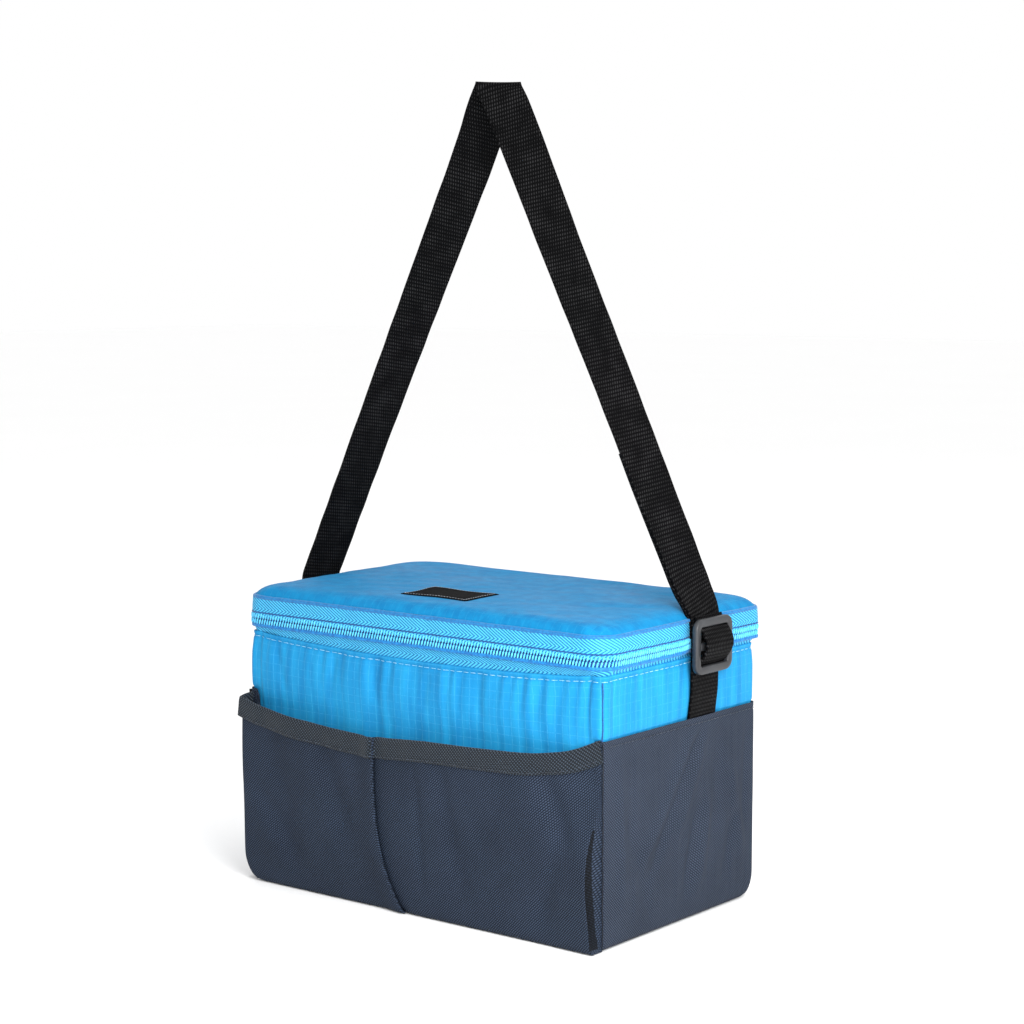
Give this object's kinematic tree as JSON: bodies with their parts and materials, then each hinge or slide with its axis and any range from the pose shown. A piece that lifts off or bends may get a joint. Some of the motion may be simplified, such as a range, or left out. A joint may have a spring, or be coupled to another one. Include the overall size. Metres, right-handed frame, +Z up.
{
  "type": "insulated cooler bag",
  "caption": "Soft insulated lunch cooler with a zip-around hinged lid, divided front pocket and an adjustable webbing carrying strap.",
  "frame": {"origin": "on the floor under the middle of the box, at the bottom panel's underside", "axes": "+Z up; -Y towards the front pocket; +X towards the end that carries the strap adjuster"},
  "size_m": [0.276, 0.1534, 0.4544],
  "materials": {
    "blue_ripstop": "matte",
    "navy_twill": "matte",
    "blue_binding": "matte",
    "zipper_tape": "matte",
    "zipper_coil": "satin",
    "zipper_metal": "satin",
    "black_webbing": "satin",
    "dark_plastic": "satin",
    "label_weave": "matte",
    "foam": "matte",
    "silver_liner": "satin",
    "grey_binding": "matte"
  },
  "bodies": {
    "bag": {"back_foam": "foam", "back_lower_panel": "navy_twill", "back_upper_panel": "blue_ripstop", "base_foam": "foam", "bottom_panel": "navy_twill", "front_foam": "foam", "front_lower_panel": "navy_twill", "front_upper_panel": "blue_ripstop", "hinge_strip_lower": "blue_ripstop", "left_foam": "foam", "left_lower_panel": "navy_twill", "left_upper_panel": "blue_ripstop", "liner_tub": "silver_liner", "lower_zipper_coil": "zipper_coil", "lower_zipper_tape": "zipper_tape", "pocket_binding": "navy_twill", "pocket_divider": "navy_twill", "pocket_floor": "navy_twill", "pocket_left_gusset": "navy_twill", "pocket_panel": "navy_twill", "pocket_right_gusset": "navy_twill", "right_foam": "foam", "right_lower_panel": "navy_twill", "right_upper_panel": "blue_ripstop", "rim_binding": "grey_binding", "strap_anchor_left": "black_webbing", "strap_anchor_right": "black_webbing", "zipper_stop_left": "zipper_metal", "zipper_stop_right": "zipper_metal"},
    "lid": {"lid_top_panel": "blue_ripstop", "lid_foam": "foam", "lid_liner": "silver_liner", "lid_binding": "grey_binding", "lid_piping": "blue_binding", "lid_label": "label_weave", "upper_zipper_tape": "zipper_tape", "upper_zipper_coil": "zipper_coil", "hinge_strip_upper": "blue_ripstop"},
    "strap": {"strap_webbing": "black_webbing", "strap_tail": "black_webbing"},
    "adjuster": {"tri_glide": "dark_plastic"},
    "slider": {"zipper_slider": "zipper_metal"},
    "pull": {"pull_tab": "zipper_metal"}
  },
  "joints": [
    {"name": "lid_hinge", "type": "hinge", "parent": "bag", "child": "lid", "pos_m": [0, 0.0723, 0.151], "axis": [-1, 0, 0], "range_deg": [0, 115]},
    {"name": "strap_swing", "type": "hinge", "parent": "bag", "child": "strap", "pos_m": [0, 0.024, 0.108], "axis": [-1, 0, 0], "range_deg": [0, 115]},
    {"name": "adjuster_slide", "type": "slide", "parent": "strap", "child": "adjuster", "axis": [0, 0, 1], "range_m": [-0.008, 0.006]},
    {"name": "slider_travel", "type": "slide", "parent": "bag", "child": "slider", "axis": [0, -1, 0], "range_m": [0, 0.07]},
    {"name": "pull_flip", "type": "hinge", "parent": "slider", "child": "pull", "pos_m": [-0.12885, 0.0385, 0.151], "axis": [0, 0, 1], "range_deg": [0, 100]}
  ],
  "couplings": [
    {"joint": "strap_swing", "follows": "lid_hinge", "ratio": 1}
  ]
}
